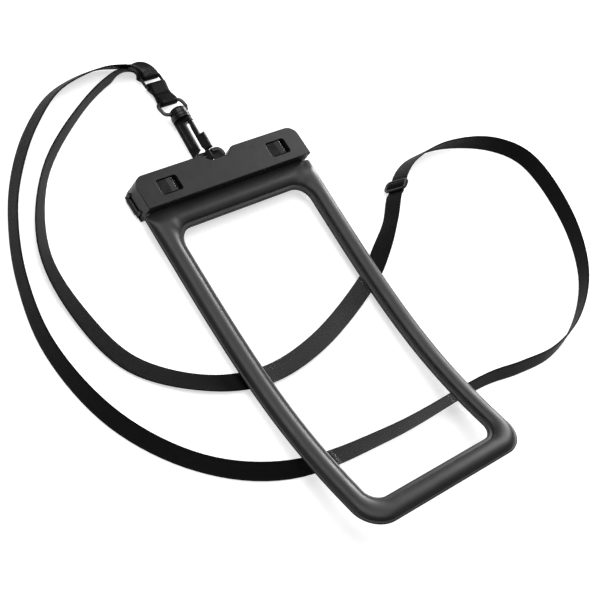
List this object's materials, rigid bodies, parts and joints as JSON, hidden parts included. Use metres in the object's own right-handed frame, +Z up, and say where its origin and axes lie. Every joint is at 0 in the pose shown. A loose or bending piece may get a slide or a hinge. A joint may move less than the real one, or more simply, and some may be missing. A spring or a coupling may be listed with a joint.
{
  "type": "waterproof phone pouch",
  "caption": "Soft waterproof pouch with a clear window, clamped by a latched clip, on a neck strap with a swivel snap hook.",
  "frame": {"origin": "centre of the clip's flat back face, which lies on the ground with the pouch's belly", "axes": "+X across the pouch from the clip's hinge to its free end, +Y from the pouch towards the hook, +Z up out of the window"},
  "size_m": [0.3499, 0.2819, 0.0291],
  "materials": {
    "clip": "smooth satin black moulding",
    "soft_frame": "soft black padded film with a low sheen",
    "clear_film": "clear flexible film",
    "gasket": "soft sealing rubber",
    "hook": "satin black moulding",
    "ring": "black coated wire",
    "pin_steel": "drawn steel pin",
    "webbing": "flat woven polyester band"
  },
  "bodies": {
    "pouch": {"clip_rear_bar": "clip", "clip_hinge_pin": "pin_steel", "rear_gasket": "gasket", "front_frame": "soft_frame", "rear_frame": "soft_frame", "front_window": "clear_film", "rear_window": "clear_film", "hook_body": "hook", "link_webbing": "webbing", "strap_loop": "hook", "neck_strap": "webbing", "strap_slide": "hook"},
    "cover": {"clip_front_cover": "clip", "front_gasket": "gasket"},
    "left_latch": {"latch_left": "clip"},
    "right_latch": {"latch_right": "clip"},
    "gate": {"hook_gate": "hook"},
    "head": {"swivel_head": "hook"},
    "ring": {"strap_ring": "ring"}
  },
  "joints": [
    {"name": "cover_hinge", "type": "hinge", "parent": "pouch", "child": "cover", "pos_m": [-0.055, -0.00067, 0.0019], "axis": [0, -1, 0], "range_deg": [0, 95]},
    {"name": "latch_left_slide", "type": "slide", "parent": "cover", "child": "left_latch", "axis": [1, 0, 0], "range_m": [0, 0.0017]},
    {"name": "latch_right_slide", "type": "slide", "parent": "cover", "child": "right_latch", "axis": [1, 0, 0], "range_m": [0, 0.0017]},
    {"name": "gate_pivot", "type": "hinge", "parent": "pouch", "child": "gate", "pos_m": [0.00066, 0.03095, 0.00802], "axis": [-0.764, 0.0561, 0.6428], "range_deg": [-4, 0], "stiffness_Nm_per_rad": 1},
    {"name": "head_swivel", "type": "hinge", "parent": "pouch", "child": "head", "pos_m": [-0.00382, 0, 0.0054], "axis": [0.0732, 0.9973, 0], "continuous": true, "deforming": ["link_webbing"]},
    {"name": "ring_swing", "type": "hinge", "parent": "head", "child": "ring", "pos_m": [-0.00087, 0.04006, 0.0054], "axis": [1, 0, 0], "range_deg": [-70, 90], "deforming": ["link_webbing"]}
  ]
}
